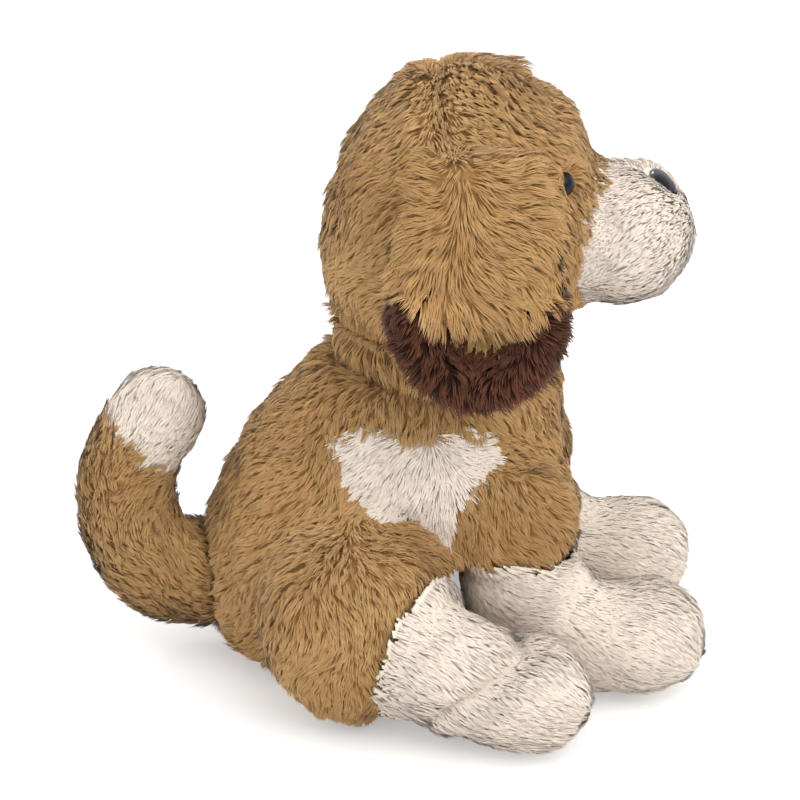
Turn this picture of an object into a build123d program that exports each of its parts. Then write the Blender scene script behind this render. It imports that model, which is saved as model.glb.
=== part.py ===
"""Seated plush dog: pile-cloth skins over fibre fill, one solid per sewn piece or fitting.

Millimetres, +Z up, nose toward +X, the dog's left side toward +Y.
The origin is the middle of the flat seat, on the floor.
"""
from build123d import *
import math
import os

os.makedirs("parts", exist_ok=True)

# Cloth, fill and clearances
pile = 8.0  # backing cloth plus its fur, pressed
fill_gap = 0.3  # between a skin and the fill inside it
play = 0.4  # between pieces that move on each other
fit = 0.1  # between a fitting and the cloth or fill round it

# Torso: level ovals as (height, back, front, half width)
torso_ovals = [
    (0.0, -50.0, 46.0, 50.0),
    (5.0, -62.0, 54.0, 61.0),
    (18.0, -72.0, 60.0, 70.0),
    (45.0, -77.0, 64.0, 76.0),
    (72.0, -77.0, 82.0, 77.0),
    (100.0, -69.0, 118.0, 77.0),
    (125.0, -57.0, 137.0, 77.0),
    (150.0, -41.0, 139.0, 76.0),
    (172.0, -22.0, 138.0, 74.0),
    (191.0, -5.0, 137.0, 71.0),
]

# Neck ball between torso and head
neck_x = 68.0
neck_z = 215.0
neck_radius = 65.0
neck_band = 24.0  # half height of the pile cloth round the ball

# Head: level ovals in the same form as the torso's, under a round crown
head_ovals = [
    (207.0, -4.0, 141.0, 73.0),
    (230.0, -6.0, 146.0, 80.0),
    (255.0, -6.0, 149.0, 84.0),
    (278.0, -4.0, 151.0, 85.0),
    (296.0, 5.0, 149.0, 81.0),
]
crown_x = 76.0
crown_z = 288.0
crown_half_length = 76.0
crown_half_width = 84.5
crown_height = 73.0

# Muzzle: a blunt bump forward of the face
muzzle_root_x = 118.0
muzzle_start_x = 148.0
muzzle_length = 59.0
muzzle_z = 259.0
muzzle_rise = 4.0
muzzle_half_width = 55.0
muzzle_half_height = 42.0
muzzle_taper = 0.95
muzzle_nose_cap = 35.0

# Safety eyes and nose: a dome on a ringed stem, locked by a petal washer inside the skin
eye_focus = (60.0, 0.0, 277.0)
eye_turn = 27.7
eye_lift = 20.0
eye_radius = 6.5
eye_height = 5.0
eye_sink = 3.0
nose_focus = (158.0, 0.0, 260.0)
nose_lift = 46.0
nose_half_width = 13.0
nose_half_height = 9.5
nose_height = 7.0
nose_sink = 3.5
nose_draft = 12.0  # slope of the nose's side, in degrees
nose_round = 0.45  # rounding of its rim, as a share of its height
stem_radius = 2.2
stem_ring = 0.6
stem_length = 16.0
ring_pitch = 2.0
washer_radius = 8.0
washer_thickness = 1.6
washer_petals = 6
petal_slit = 0.8
petal_slit_length = 3.0

# Ears: a tan outer flap over a longer brown lining with a rolled lower edge
ear_hinge_x = 80.0
ear_hinge_z = 328.0
ear_hinge_y = 82.1
ear_root_radius = 9.0
ear_root_half = 32.0
ear_lean = 10.5
ear_outer_thickness = 11.0
ear_outer_half_width = 49.0
ear_outer_length = 94.0
ear_lining_thickness = 8.0
ear_lining_half_width = 46.0
ear_lining_length = 136.0
ear_lining_inner = -2.0
ear_roll_radius = 14.0
ear_roll_top = 76.0
ear_edge_round = 0.42  # rounding of a flap's rims, as a share of its thickness
ear_outline = [  # (share of the half width, share of the length) below the root
    (0.92, 0.35),
    (1.0, 0.66),
    (0.62, 0.93),
]

# A paw's sole is pressed this far flat on the floor
sole_press = 0.5

# Forelegs: a shoulder drum in the torso, a bent leg and a paw on the floor
shoulder_x = 108.0
shoulder_y = 53.0
shoulder_z = 112.0
shoulder_radius = 39.0
shoulder_half = 31.0
shoulder_edge = 13.0
forepaw_x = 178.0
forepaw_half_width = 35.0
forepaw_half_height = 34.0
forepaw_toe = 38.0
fore_seam_z = 87.0
fore_seam_facing = (0.06, 0.0, -1.0)
foreleg_run = [  # (ahead of the shoulder, height, facing, half width, half height) along the leg
    (1.0, 108.0, (0.1, 0, -1), 29.0, 32.0),
    (5.0, 78.0, (0.4, 0, -0.9), 31.0, 33.0),
    (19.0, 49.0, (0.75, 0, -0.65), 33.0, 37.0),
    (44.0, 35.0, (1, 0, -0.15), 35.0, 36.0),
]

# Hind legs: a round thigh against the hip, and a splayed foot
hip_x = 20.0
hip_z = 60.0
hip_wall = 64.0
thigh_radius = 59.0
thigh_outer_y = 131.0
thigh_inner_edge = 14.0
thigh_outer_edge = 34.0
thigh_crest_y = 95.0
hind_splay = 27.0
hindfoot_x = 108.0
hindfoot_y = 136.0
hindfoot_half_width = 40.0
hindfoot_half_height = 37.0
hindfoot_toe = 42.0
hindfoot_inner_y = 89.0
hind_seam_x = 38.0
hind_seam_y = 117.0
hind_seam_z = 50.0
hind_seam_drop = 15.0
hindleg_pitch = -10.0
hindleg_run = [  # (share of the way forward, share outward, height, narrower, taller than the foot)
    (0.18, 0.22, 56.0, 10.0, 6.0),
    (0.47, 0.51, 47.0, 4.0, 4.0),
    (0.75, 0.78, 40.0, 1.0, 2.0),
]

# Tail: a ball root in the torso's back, then (x, z, radius) along its curl
tail_x = -77.0
tail_z = 47.0
tail_root_radius = 31.0
tail_neck_share = 0.84
tail_spine = [
    (-101.0, 54.0, 30.0),
    (-115.0, 76.0, 29.0),
    (-119.0, 101.0, 28.0),
    (-112.0, 126.0, 27.0),
    (-99.0, 148.0, 26.0),
]
tail_cap = 27.0
tail_seam_x = -111.0
tail_seam_z = 128.0
tail_seam_turn = 43.0

# Heart-shaped flank patch on the right side
patch_x = 50.0
patch_z = 123.0
patch_half_width = 44.0
patch_lean = 20.0
patch_fill = 0.72  # the heart's square and lobes, as a share of the largest that fit
patch_corner = 6.0
patch_start = 20.0  # the cut for the patch runs sideways from here
patch_reach = 100.0

# Bean pouch in the seat
pouch_wall = 1.5
pouch_floor = 2.0
pouch_height = 26.0
pouch_half_length = 42.0
pouch_half_width = 44.0
pouch_x = -6.0
pouch_round = 0.36  # rounding of its rims, as a share of its height

# A limb's round end: a little wider than the limb, with its seam turned off the limb's
cap_swell = 1.02
cap_turn = 30.0

RIGHT = -1
LEFT = 1


def oval(centre, facing, half_across, half_tall):
    """An ellipse at centre, facing along the limb, with half_across nearest to level and sideways."""
    return Plane(origin=centre, x_dir=(0, 1, 0), z_dir=facing) * Ellipse(half_across, half_tall)


def stacked(rows, inset):
    """A loft through level ovals, drawn in by inset all round."""
    base = rows[0][0]
    reach = rows[-1][0] - base
    shrink = (reach - 2 * inset) / reach
    sections = []
    for height, back, front, half_width in rows:
        half_length = (front - back) / 2 - inset
        centre = ((front + back) / 2, 0, base + inset + (height - base) * shrink)
        sections.append(Plane(origin=centre) * Ellipse(half_length, half_width - inset))
    return loft(sections)


def limb(stations, cap_length, inset):
    """A loft through (centre, facing, half across, half tall) stations, with a round end."""
    sections = [oval(c, f, wide - inset, tall - inset) for c, f, wide, tall in stations]
    centre, facing, wide, tall = stations[-1]
    end = Plane(origin=centre, x_dir=(0, 1, 0), z_dir=facing)
    width = cap_swell * (wide - inset)
    height = cap_swell * (tall - inset)
    ball = Rot(0, 0, cap_turn) * Sphere(1)
    return loft(sections) + end * scale(ball, by=(width, height, cap_length - inset))


def grown(centre, axis, radius, low, high):
    """A cylinder from low to high along axis, through centre."""
    plane = Plane(origin=centre, z_dir=axis)
    rod = Cylinder(radius, high - low, align=(Align.CENTER, Align.CENTER, Align.MIN))
    return plane * Pos(0, 0, low) * rod


def halfspace(centre, facing, reach=400.0):
    """A big block that lies ahead of the plane through centre."""
    plane = Plane(origin=centre, z_dir=facing)
    return plane * Box(2 * reach, 2 * reach, reach, align=(Align.CENTER, Align.CENTER, Align.MIN))


def split_at(solid, centre, facing):
    """The main piece behind a seam plane, and the main piece ahead of it."""
    ahead = halfspace(centre, facing)
    pieces = (solid - ahead, solid & ahead)
    return [max(piece.solids(), key=lambda s: s.volume) for piece in pieces]


def save(node, solid, side=None):
    """Write one piece, mirrored to the right side of the dog if asked."""
    if side == RIGHT:
        solid = mirror(solid, about=Plane.XZ)
    solid.label = node
    export_step(solid, f"parts/{node}.step")


# ---------- fittings: eyes and nose ----------


def stem(length):
    """A plastic stem with locking rings, down from the origin."""
    shaft = Pos(0, 0, -length / 2) * Cylinder(stem_radius, length)
    rings = int((length - pile) / ring_pitch)
    for i in range(rings):
        top = -length + 1 + i * ring_pitch
        ring = Cone(stem_radius, stem_radius + stem_ring, ring_pitch / 2)
        shaft += Pos(0, 0, top + ring_pitch / 4) * ring
    return shaft


def eye_solid():
    """A domed eye; its flat back is at z = 0."""
    dome = scale(Sphere(eye_radius), by=(1, 1, eye_height / eye_radius))
    dome &= Pos(0, 0, eye_height) * Box(4 * eye_radius, 4 * eye_radius, 2 * eye_height)
    return dome + stem(stem_length)


def nose_solid():
    """A soft-cornered triangular nose, wide side up, on a stem."""
    wide = Ellipse(nose_half_width, nose_half_height)
    bump = extrude(wide, nose_height, taper=nose_draft)
    rim = bump.faces().sort_by(Axis.Z)[-1].edges()
    bump = fillet(rim, nose_height * nose_round)
    return bump + stem(stem_length)


def washer_solid(depth):
    """A locking washer whose outer face is depth below the seat, with slit petals."""
    disc = Cylinder(washer_radius, washer_thickness)
    disc -= Cylinder(stem_radius + stem_ring + fit, 2 * washer_thickness)
    for i in range(washer_petals):
        slit = Pos(stem_radius + petal_slit_length / 2, 0, 0)
        slit *= Box(petal_slit_length, petal_slit, 2 * washer_thickness)
        disc -= Rot(0, 0, i * 360 / washer_petals) * slit
    return Pos(0, 0, -depth - washer_thickness / 2) * disc


def fitting_plane(skin, focus, direction, sink, across):
    """The seat of a fitting: on the line from focus, sunk below the outer surface it meets."""
    ray = Axis(focus, direction)
    points = [p for p, _ in skin.find_intersection_points(ray)]
    far = max(points, key=lambda p: (p - Vector(*focus)).dot(Vector(*direction)))
    seat = far - Vector(*direction).normalized() * sink
    return Plane(origin=seat, x_dir=across, z_dir=direction)


def turned(turn, lift):
    """A direction by its turn from +X toward +Y and its lift above level, in degrees."""
    a = math.radians(turn)
    b = math.radians(lift)
    return (math.cos(b) * math.cos(a), math.cos(b) * math.sin(a), math.sin(b))


# ---------- torso ----------


def torso_solid(inset=0.0):
    return stacked(torso_ovals, inset)


def heart_prism():
    """The outline of the flank patch, swept sideways through the right wall."""
    lobe = patch_fill * math.sqrt(2) * patch_half_width / (1 + math.sqrt(0.5))
    square = Rectangle(2 * lobe, 2 * lobe)
    heart = Rot(0, 0, 45) * (square + Pos(lobe, 0) * Circle(lobe) + Pos(0, lobe) * Circle(lobe))
    heart = fillet(heart.vertices(), patch_corner)
    plane = Plane(origin=(patch_x, -patch_start, patch_z), x_dir=(1, 0, 0), z_dir=(0, -1, 0))
    return plane * Rot(0, 0, patch_lean) * extrude(heart, patch_reach)


def neck_ball(extra=0.0):
    return Pos(neck_x, 0, neck_z) * Sphere(neck_radius + extra)


def hip_recess():
    """The shallow round seat of a thigh in the torso's side."""
    return grown((hip_x, hip_wall, hip_z), (0, 1, 0), thigh_radius + 2 * play, 0, 60)


def tail_ball(extra=0.0):
    return Pos(tail_x, 0, tail_z) * Sphere(tail_root_radius + extra)


def torso_cuts():
    cut = neck_ball(play) + tail_ball(play)
    for tool in (foreleg_solid(-play), hip_recess()):
        cut += tool
        cut += mirror(tool, about=Plane.XZ)
    return cut


def make_torso():
    cuts = torso_cuts()
    inner = torso_solid(pile)
    skin = torso_solid() - inner - cuts
    heart = heart_prism()
    patch = skin & heart
    save("body_skin", skin - heart)
    save("flank_patch", patch)
    pouch = pouch_solid(0)
    beans = pouch_solid(pouch_wall)
    fill = torso_solid(pile + fill_gap) - cuts - pouch_solid(-fit)
    save("body_stuffing", fill)
    save("seat_pouch", pouch - beans)
    save("seat_beans", pouch_solid(pouch_wall + fit))


def pouch_solid(inset):
    """The flat bean bag low in the seat."""
    low = pile + pouch_floor + inset
    bag = extrude(Ellipse(pouch_half_length - inset, pouch_half_width - inset), pouch_height - 2 * inset)
    bag = fillet(bag.edges(), pouch_height * pouch_round)
    return Pos(pouch_x, 0, low) * bag


# ---------- neck and head ----------


def make_neck():
    """A stuffed ball with a band of pile cloth round its waist."""
    centre = Pos(neck_x, 0, neck_z)
    band = Sphere(neck_radius) - Sphere(neck_radius - pile)
    band &= Cylinder(2 * neck_radius, 2 * neck_band)
    groove = Sphere(2 * neck_radius) - Sphere(neck_radius - pile - fill_gap)
    groove &= Cylinder(2 * neck_radius, 2 * (neck_band + fill_gap))
    save("neck_band", centre * band)
    save("neck_stuffing", centre * (Sphere(neck_radius) - groove))


def muzzle_solid(inset=0.0):
    """The blunt muzzle, running back into the head."""
    facing = (muzzle_length, 0, muzzle_rise)
    blunt = muzzle_length - muzzle_nose_cap
    tip_z = muzzle_z + muzzle_rise * blunt / muzzle_length
    path = [
        ((muzzle_root_x, 0, muzzle_z), facing, muzzle_half_width, muzzle_half_height),
        ((muzzle_start_x, 0, muzzle_z), facing, muzzle_half_width, muzzle_half_height),
        (
            (muzzle_start_x + blunt, 0, tip_z),
            facing,
            muzzle_taper * muzzle_half_width,
            muzzle_taper * muzzle_half_height,
        ),
    ]
    return limb(path, muzzle_nose_cap, inset)


def fitting_pocket(outline, depth):
    """What a fitting takes out of skin and fill: its seat, its stem hole and its washer's room."""
    seat = extrude(outline, 3 * pile)
    hole = Pos(0, 0, -stem_length - fit) * Cylinder(
        stem_radius + stem_ring + fit,
        stem_length + fit,
        align=(Align.CENTER, Align.CENTER, Align.MIN),
    )
    room = Pos(0, 0, -depth - washer_thickness / 2 - fit / 2)
    room *= Cylinder(washer_radius + fit, washer_thickness + fit)
    return seat + hole + room


def head_solid(inset=0.0):
    """The lower head, lofted, under an ellipsoid crown."""
    crown = scale(
        Sphere(1),
        by=(crown_half_length - inset, crown_half_width - inset, crown_height - inset),
    )
    return stacked(head_ovals, inset) + Pos(crown_x, 0, crown_z) * crown


def make_head():
    outer = head_solid()
    skin = outer - head_solid(pile) - muzzle_solid(pile)
    gap = pile + fill_gap
    fill = head_solid(gap) + muzzle_solid(gap)
    washers = []
    for side, name in ((LEFT, "left"), (RIGHT, "right")):
        direction = turned(side * eye_turn, eye_lift)
        seat = fitting_plane(outer, eye_focus, direction, eye_sink, (0, 0, 1))
        depth = pile - eye_sink
        pocket = seat * fitting_pocket(Circle(eye_radius + fit), depth)
        skin -= pocket
        fill -= pocket
        washers.append(seat * washer_solid(depth))
        save(f"eye_{name}", seat * eye_solid())
    direction = turned(0, nose_lift)
    seat = fitting_plane(muzzle_solid(), nose_focus, direction, nose_sink, (0, 1, 0))
    depth = pile - nose_sink
    outline = Ellipse(nose_half_width + fit, nose_half_height + fit)
    pocket = seat * fitting_pocket(outline, depth)
    muzzle = muzzle_solid() - muzzle_solid(pile) - outer - pocket
    fill -= pocket
    save("nose", seat * nose_solid())
    save("nose_washer", seat * washer_solid(depth))
    save("eye_washers", Compound(children=washers))
    socket = neck_ball(play)
    save("head_skin", skin - socket)
    save("muzzle_skin", muzzle)
    save("head_stuffing", fill - socket)


# ---------- ears ----------


def leaf(half_width, length):
    """An ear outline: straight across the root, widest low down, round at the end."""
    side = [(ear_root_half, 0)]
    side += [(across * half_width, -down * length) for across, down in ear_outline]
    side += [(0, -length)]
    edge = Spline(side + [(-x, y) for x, y in side[-2::-1]])
    return make_face([edge, Line(edge @ 1, edge @ 0)])


def flap(half_width, length, inner, thickness):
    """A soft-edged ear layer hanging below the hinge line, from inner outward."""
    plate = extrude(leaf(half_width, length), thickness)
    plate = fillet(plate.edges(), ear_edge_round * thickness)
    return Pos(0, inner + thickness, 0) * Rot(90, 0, 0) * plate


def rolled_edge():
    """The fat lower edge of the lining: a round roll along the foot of the ear, with domed ends."""
    half = ear_lining_half_width - ear_roll_radius / 2
    drop = ear_lining_length - ear_roll_radius - ear_roll_top
    path = Plane.XZ * EllipticalCenterArc((0, -ear_roll_top), half, drop, 180, arc_size=180)
    roll = sweep(Plane(origin=path @ 0, z_dir=path % 0) * Circle(ear_roll_radius), path)
    for end in (path @ 0, path @ 1):
        roll += Pos(*end) * Sphere(ear_roll_radius)
    return Pos(0, ear_roll_radius + ear_lining_inner, 0) * roll


def make_ears():
    """Each ear in its own frame: the hinge line is the X axis, outward is +Y, and down is -Z."""
    root = Cylinder(ear_root_radius, 2 * ear_root_half, rotation=(0, 90, 0))
    lining = flap(ear_lining_half_width, ear_lining_length, ear_lining_inner, ear_lining_thickness)
    lining += root
    lining += rolled_edge()
    outer_inner = ear_lining_inner + ear_lining_thickness
    outer = flap(ear_outer_half_width, ear_outer_length, outer_inner, ear_outer_thickness)
    outer = Pos(0, 0, ear_root_radius / 2) * outer - lining
    place = Pos(ear_hinge_x, ear_hinge_y, ear_hinge_z) * Rot(ear_lean, 0, 0)
    for side, name in ((LEFT, "left"), (RIGHT, "right")):
        save(f"ear_{name}_outer", place * outer, side)
        save(f"ear_{name}_lining", place * lining, side)


# ---------- legs ----------


def foreleg_solid(inset=0.0):
    """The shoulder drum, the short leg that bends forward, and the paw."""
    half = shoulder_half - inset
    edge = shoulder_edge - inset / 2
    drum = cushion(shoulder_radius - inset, -half, half, edge, edge)
    y = shoulder_y
    path = [((shoulder_x + ahead, y, z), facing, wide, tall) for ahead, z, facing, wide, tall in foreleg_run]
    paw = (forepaw_x, y, forepaw_half_height - sole_press)
    path += [(paw, (1, 0, 0), forepaw_half_width, forepaw_half_height)]
    leg = Pos(shoulder_x, y, shoulder_z) * drum + limb(path, forepaw_toe, inset)
    return leg & halfspace((0, 0, inset), (0, 0, 1))


def cushion(radius, low, high, low_edge, high_edge):
    """A drum about the Y axis from low to high, with rounded rims."""
    drum = Cylinder(radius, high - low, rotation=(-90, 0, 0))
    rims = drum.edges().filter_by(GeomType.CIRCLE).sort_by(Axis.Y)
    drum = fillet(rims[0], low_edge)
    rims = drum.edges().filter_by(GeomType.CIRCLE).sort_by(Axis.Y)
    drum = fillet(rims[-1], high_edge)
    return Pos(0, (low + high) / 2, 0) * drum


def thigh_solid(inset=0.0):
    """A round cushion about the hip's level axis, flat against the hip wall."""
    low = hip_wall + play + inset
    high = thigh_outer_y - inset
    drum = cushion(
        thigh_radius - inset, low, high, thigh_inner_edge - inset / 2, thigh_outer_edge - inset
    )
    return Pos(hip_x, 0, hip_z) * drum


def hindleg_solid(inset=0.0):
    """The thigh and the splayed foot, which leaves the thigh clear of the foreleg."""
    wide = hindfoot_half_width
    tall = hindfoot_half_height
    splayed = turned(hind_splay, hindleg_pitch)
    level = turned(hind_splay / 2, 0)
    run_x = hindfoot_x - hip_x
    run_y = hindfoot_y - thigh_crest_y
    path = []
    for ahead, out, z, narrower, taller in hindleg_run:
        point = (hip_x + ahead * run_x, thigh_crest_y + out * run_y, z)
        path.append((point, splayed, wide - narrower, tall + taller))
    path.append(((hindfoot_x, hindfoot_y, tall - sole_press), level, wide, tall))
    foot = limb(path, hindfoot_toe, inset)
    foot &= halfspace((0, hindfoot_inner_y + inset, 0), (0, 1, 0))
    return (thigh_solid(inset) + foot) & halfspace((0, 0, inset), (0, 0, 1))


def make_leg(name, outer, inner, fill, seam, facing):
    """Split a leg's skin at its colour seam and write both sides of the dog."""
    upper, lower = split_at(outer - inner, seam, facing)
    for side, word in ((LEFT, "left"), (RIGHT, "right")):
        save(f"{name}_{word}_sleeve", upper, side)
        save(f"{name}_{word}_paw", lower, side)
        save(f"{name}_{word}_stuffing", fill, side)


def make_legs():
    inset = pile + fill_gap
    seam = (shoulder_x, shoulder_y, fore_seam_z)
    leg = [foreleg_solid(), foreleg_solid(pile), foreleg_solid(inset)]
    make_leg("foreleg", *leg, seam, fore_seam_facing)
    seam = (hind_seam_x, hind_seam_y, hind_seam_z)
    facing = turned(hind_splay, -hind_seam_drop)
    leg = [hindleg_solid(), hindleg_solid(pile), hindleg_solid(inset)]
    make_leg("hindleg", *leg, seam, facing)


# ---------- tail ----------


def tail_solid(inset=0.0):
    """A ball root and a round tail along its upward curl."""
    points = [Vector(tail_x, 0, tail_z)] + [Vector(x, 0, z) for x, z, _ in tail_spine]
    radii = [tail_neck_share * tail_root_radius] + [radius for _, _, radius in tail_spine]
    stations = []
    for i, point in enumerate(points):
        ahead = points[min(i + 1, len(points) - 1)]
        behind = points[max(i - 1, 0)]
        stations.append((tuple(point), tuple(ahead - behind), radii[i], radii[i]))
    ball = Pos(tail_x, 0, tail_z) * Sphere(tail_root_radius - inset)
    return ball + limb(stations, tail_cap, inset)


def make_tail():
    seam = (tail_seam_x, 0, tail_seam_z)
    facing = turned(0, tail_seam_turn)
    skin = tail_solid() - tail_solid(pile)
    sleeve, tip = split_at(skin, seam, facing)
    save("tail_sleeve", sleeve)
    save("tail_tip", tip)
    save("tail_stuffing", tail_solid(pile + fill_gap))


make_torso()
make_neck()
make_head()
make_ears()
make_legs()
make_tail()
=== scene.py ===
import math

import bpy
import numpy as np
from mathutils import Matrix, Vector
from mathutils.bvhtree import BVHTree
from mathutils.kdtree import KDTree


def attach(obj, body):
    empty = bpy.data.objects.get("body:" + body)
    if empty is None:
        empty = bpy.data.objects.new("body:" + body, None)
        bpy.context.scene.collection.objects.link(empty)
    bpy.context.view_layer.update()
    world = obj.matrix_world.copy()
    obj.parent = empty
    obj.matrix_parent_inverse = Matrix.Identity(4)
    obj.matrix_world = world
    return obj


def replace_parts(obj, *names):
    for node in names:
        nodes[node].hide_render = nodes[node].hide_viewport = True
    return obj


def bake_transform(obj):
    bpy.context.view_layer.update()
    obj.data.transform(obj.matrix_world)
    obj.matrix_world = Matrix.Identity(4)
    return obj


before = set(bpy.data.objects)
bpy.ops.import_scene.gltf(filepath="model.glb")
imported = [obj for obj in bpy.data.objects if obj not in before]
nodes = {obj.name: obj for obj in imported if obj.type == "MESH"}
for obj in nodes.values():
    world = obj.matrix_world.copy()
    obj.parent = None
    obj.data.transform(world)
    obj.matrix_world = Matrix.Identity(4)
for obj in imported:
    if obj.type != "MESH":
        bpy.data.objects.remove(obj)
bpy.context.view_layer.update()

# ---------------------------------------------------------------- sizes, metres
VOXEL = 0.0045          # cell of the remeshed stuffed forms
FILL_PRESSURE = 4.0     # of the Cloth step that fills a form
FILL_FRAMES = 20
FILL_REACH = 0.003      # the most that the filling moves a point
BACKING_DEPTH = 0.0038  # the knitted backing lies this far under the tips of the pile, or as DEPTHS says
DEPTHS = {"ear": 0.0034, "tail": 0.0004, "foreleg": 0.0034, "neck": 0.0008}
FLOOR_GAP = 0.0005      # room between the lowest pile and the floor
NECK_X = 0.068          # the neck's middle
CHEST_HALF = 0.0755     # half the chest's breadth at the shoulders

# hard fittings: how far each dome stands out of the backing, and the reach of the bare place under it
EYE_PROUD, EYE_BARE = 0.0042, 0.0060
NOSE_PROUD, NOSE_BARE = 0.0060, 0.0122
NOSE_TILT = math.radians(46)

# a tuft of pile: tufts are narrower and looser in the tan, wider and closer in the softer cream
FIBRE, WIDE = 0.00070, 0.00085    # width
DENSE, CLOSE = 0.74e6, 1.1e6      # tufts per square metre of backing
MOST_TUFTS = 19000                # in one piece
SUNK = 0.0012                     # the tuft's root lies this far inside the backing
# how far the tips of a lock close in, and how much the tufts turn, rise and differ, for each pile
LOCK_PULL = {"tan_pile": 0.38, "cream_pile": 0.12, "brown_pile": 0.42}
LOOSENESS = {"tan_pile": 0.9, "cream_pile": 0.45, "brown_pile": 1.0}


def linear(r, g, b):
    """A colour written as 0..255 display values, for a shader socket."""
    out = []
    for c in (r, g, b):
        c = c / 255.0
        out.append(c / 12.92 if c <= 0.04045 else ((c + 0.055) / 1.055) ** 2.4)
    return (*out, 1.0)


# ---------------------------------------------------------------- materials
def make_pile_colour_group():
    """Colour along one tuft: dark at the backing, painted shade deep in the pile; full in the middle; pale
    at the tip, painted light where the tips are lit.
    """
    g = bpy.data.node_groups.new("pile_colour", "ShaderNodeTree")
    for name, kind in (("Along", "NodeSocketFloat"), ("Shade", "NodeSocketFloat"),
                       ("Root", "NodeSocketColor"), ("Middle", "NodeSocketColor"),
                       ("Tip", "NodeSocketColor"), ("Dark tone and painted shade", "NodeSocketColor")):
        g.interface.new_socket(name=name, in_out="INPUT", socket_type=kind)
    g.interface.new_socket(name="Color", in_out="OUTPUT", socket_type="NodeSocketColor")
    n, link = g.nodes, g.links
    gin, gout = n.new("NodeGroupInput"), n.new("NodeGroupOutput")
    low = n.new("ShaderNodeMapRange")
    low.inputs["From Max"].default_value = 0.55
    low.interpolation_type = "SMOOTHSTEP"
    high = n.new("ShaderNodeMapRange")
    high.inputs["From Min"].default_value = 0.45
    link.new(gin.outputs["Along"], low.inputs["Value"])
    link.new(gin.outputs["Along"], high.inputs["Value"])
    a, b, c = (n.new("ShaderNodeMix") for _ in range(3))
    for m in (a, b, c):
        m.data_type = "RGBA"
    link.new(low.outputs["Result"], a.inputs["Factor"])
    link.new(gin.outputs["Root"], a.inputs["A"])
    link.new(gin.outputs["Middle"], a.inputs["B"])
    link.new(high.outputs["Result"], b.inputs["Factor"])
    link.new(a.outputs["Result"], b.inputs["A"])
    link.new(gin.outputs["Tip"], b.inputs["B"])
    # Shade mixes in the darker fourth colour: partly the pile's own tone, differing at random, and partly
    # painted shade that parts the locks
    link.new(gin.outputs["Shade"], c.inputs["Factor"])
    link.new(gin.outputs["Dark tone and painted shade"], c.inputs["A"])
    link.new(b.outputs["Result"], c.inputs["B"])
    link.new(c.outputs["Result"], gout.inputs["Color"])
    return g


def make_knit_group():
    """Height and shade of the knitted backing under the pile."""
    g = bpy.data.node_groups.new("knit_backing", "ShaderNodeTree")
    for name, kind in (("Vector", "NodeSocketVector"), ("Scale", "NodeSocketFloat"),
                       ("Dark", "NodeSocketColor"), ("Light", "NodeSocketColor")):
        g.interface.new_socket(name=name, in_out="INPUT", socket_type=kind)
    for name, kind in (("Color", "NodeSocketColor"), ("Height", "NodeSocketFloat")):
        g.interface.new_socket(name=name, in_out="OUTPUT", socket_type=kind)
    n, link = g.nodes, g.links
    gin, gout = n.new("NodeGroupInput"), n.new("NodeGroupOutput")
    cells = n.new("ShaderNodeTexVoronoi")
    cloud = n.new("ShaderNodeTexNoise")
    cloud.inputs["Scale"].default_value = 38.0
    cloud.inputs["Detail"].default_value = 3.0
    link.new(gin.outputs["Vector"], cells.inputs["Vector"])
    link.new(gin.outputs["Scale"], cells.inputs["Scale"])
    link.new(gin.outputs["Vector"], cloud.inputs["Vector"])
    mix = n.new("ShaderNodeMix")
    mix.data_type = "RGBA"
    link.new(cloud.outputs["Fac"], mix.inputs["Factor"])
    link.new(gin.outputs["Dark"], mix.inputs["A"])
    link.new(gin.outputs["Light"], mix.inputs["B"])
    link.new(mix.outputs["Result"], gout.inputs["Color"])
    link.new(cells.outputs["Distance"], gout.inputs["Height"])
    return g


PILE_COLOUR = make_pile_colour_group()
KNIT = make_knit_group()


def pile_material(name, root, middle, tip, dark, roughness, sheen):
    """Pile fibre, matt, with a soft sheen at its edges."""
    m = bpy.data.materials.new(name)
    m.use_nodes = True
    n, link = m.node_tree.nodes, m.node_tree.links
    bsdf = n["Principled BSDF"]
    bsdf.inputs["Roughness"].default_value = roughness
    bsdf.inputs["Specular IOR Level"].default_value = 0.2
    bsdf.inputs["Sheen Weight"].default_value = sheen
    bsdf.inputs["Sheen Roughness"].default_value = 0.5
    uv = n.new("ShaderNodeUVMap")
    uv.uv_map = "OFBake"
    split = n.new("ShaderNodeSeparateXYZ")
    link.new(uv.outputs["UV"], split.inputs["Vector"])
    group = n.new("ShaderNodeGroup")
    group.node_tree = PILE_COLOUR
    group.inputs["Root"].default_value = root
    group.inputs["Middle"].default_value = middle
    group.inputs["Tip"].default_value = tip
    group.inputs["Dark tone and painted shade"].default_value = dark
    link.new(split.outputs["X"], group.inputs["Shade"])
    link.new(split.outputs["Y"], group.inputs["Along"])
    link.new(group.outputs["Color"], bsdf.inputs["Base Color"])
    return m


def backing_material(name, dark, light):
    """Knitted cloth: loops as a fine bump, and a slight clouding of its colour."""
    m = bpy.data.materials.new(name)
    m.use_nodes = True
    n, link = m.node_tree.nodes, m.node_tree.links
    bsdf = n["Principled BSDF"]
    bsdf.inputs["Roughness"].default_value = 0.95
    bsdf.inputs["Specular IOR Level"].default_value = 0.15
    where = n.new("ShaderNodeTexCoord")
    group = n.new("ShaderNodeGroup")
    group.node_tree = KNIT
    group.inputs["Scale"].default_value = 620.0
    group.inputs["Dark"].default_value = dark
    group.inputs["Light"].default_value = light
    bump = n.new("ShaderNodeBump")
    bump.inputs["Strength"].default_value = 0.6
    bump.inputs["Distance"].default_value = 0.0006
    link.new(where.outputs["Object"], group.inputs["Vector"])
    link.new(group.outputs["Color"], bsdf.inputs["Base Color"])
    link.new(group.outputs["Height"], bump.inputs["Height"])
    link.new(bump.outputs["Normal"], bsdf.inputs["Normal"])
    return m


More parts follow.
